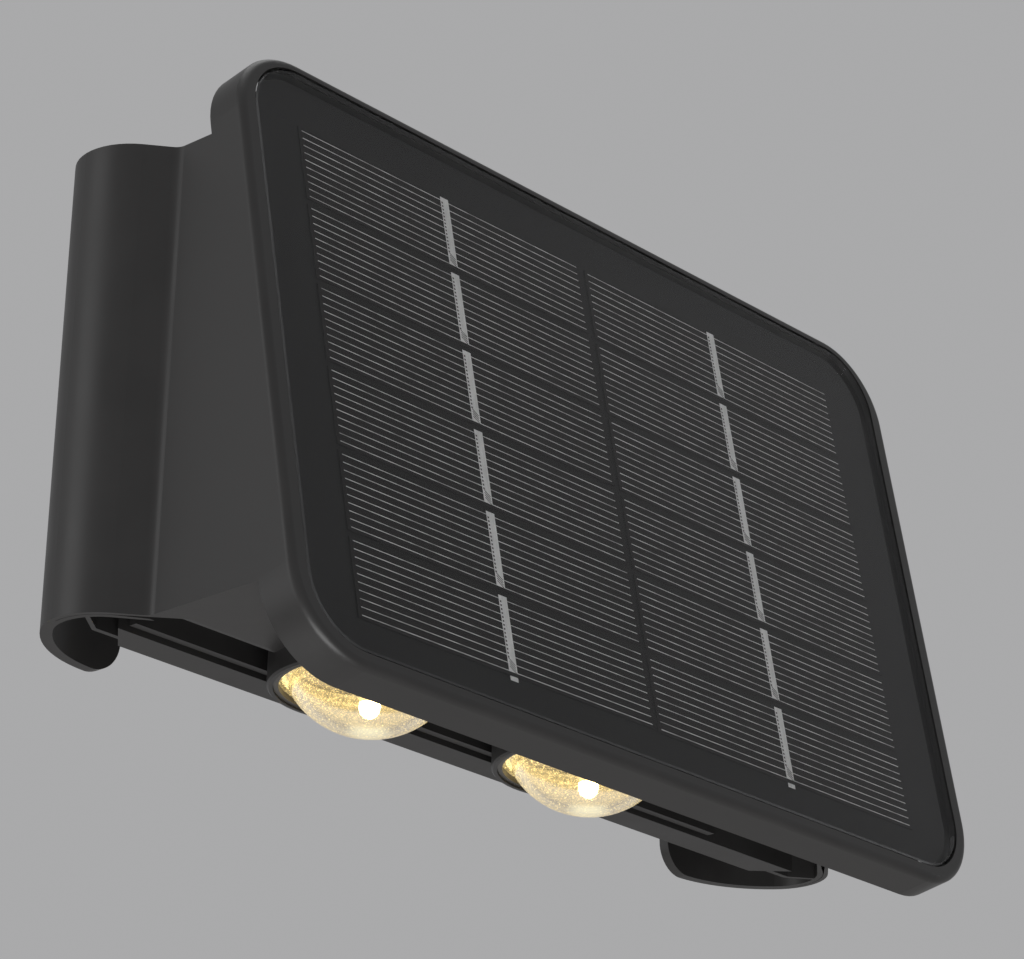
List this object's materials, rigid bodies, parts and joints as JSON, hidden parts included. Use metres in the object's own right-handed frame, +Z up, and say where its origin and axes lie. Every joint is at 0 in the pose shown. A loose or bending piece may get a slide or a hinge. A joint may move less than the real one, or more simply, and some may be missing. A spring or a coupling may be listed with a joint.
{
  "type": "solar fence light",
  "caption": "Wedge-shaped solar fence light with a tilted panel, two downward dome lamps below and curled side hooks that slide over a fence board.",
  "frame": {"origin": "middle of the flat rear face that lies against the fence board", "axes": "+X to the right seen from the front, +Y into the fence, +Z up"},
  "size_m": [0.1696, 0.0554, 0.1017],
  "materials": {
    "housing": "semi-gloss black moulded ABS",
    "cover": "semi-gloss black moulded ABS",
    "glass": "clear toughened panel glass",
    "cell": "dark blue-black silicon cell",
    "ribbon": "tinned copper ribbon",
    "backing": "black laminate board",
    "foam": "black foam tape",
    "lens": "clear moulded dome, lit warm white",
    "ring": "black moulded ring",
    "seal": "black silicone rubber",
    "led_board": "white-coated aluminium board",
    "led": "warm white emitter",
    "battery": "blue sleeved lithium cell",
    "holder": "black nylon cradle",
    "contact": "nickel plate",
    "board": "green solder mask",
    "component": "black moulded components",
    "screw": "stainless steel",
    "switch": "black nylon switch case",
    "button": "black soft-touch cap"
  },
  "bodies": {
    "root": {"front_housing": "housing", "rear_cover": "cover", "cover_seal": "seal", "cover_screws": "screw", "panel_glass": "glass", "solar_cells": "cell", "cell_ribbons": "ribbon", "panel_backing": "backing", "panel_tape": "foam", "battery_cell": "battery", "battery_holder": "holder", "battery_contacts": "contact", "control_board": "board", "board_parts": "component", "board_screws": "screw", "push_switch": "switch", "lenses": "lens", "lens_rings": "ring", "led_boards": "led_board", "leds": "led"},
    "button": {"switch_button": "button"}
  },
  "joints": [
    {"name": "button_press", "type": "slide", "parent": "root", "child": "button", "axis": [0, 0, 1], "range_m": [0, 0.0015], "stiffness_N_per_m": 1200, "springref_m": -0.001}
  ]
}
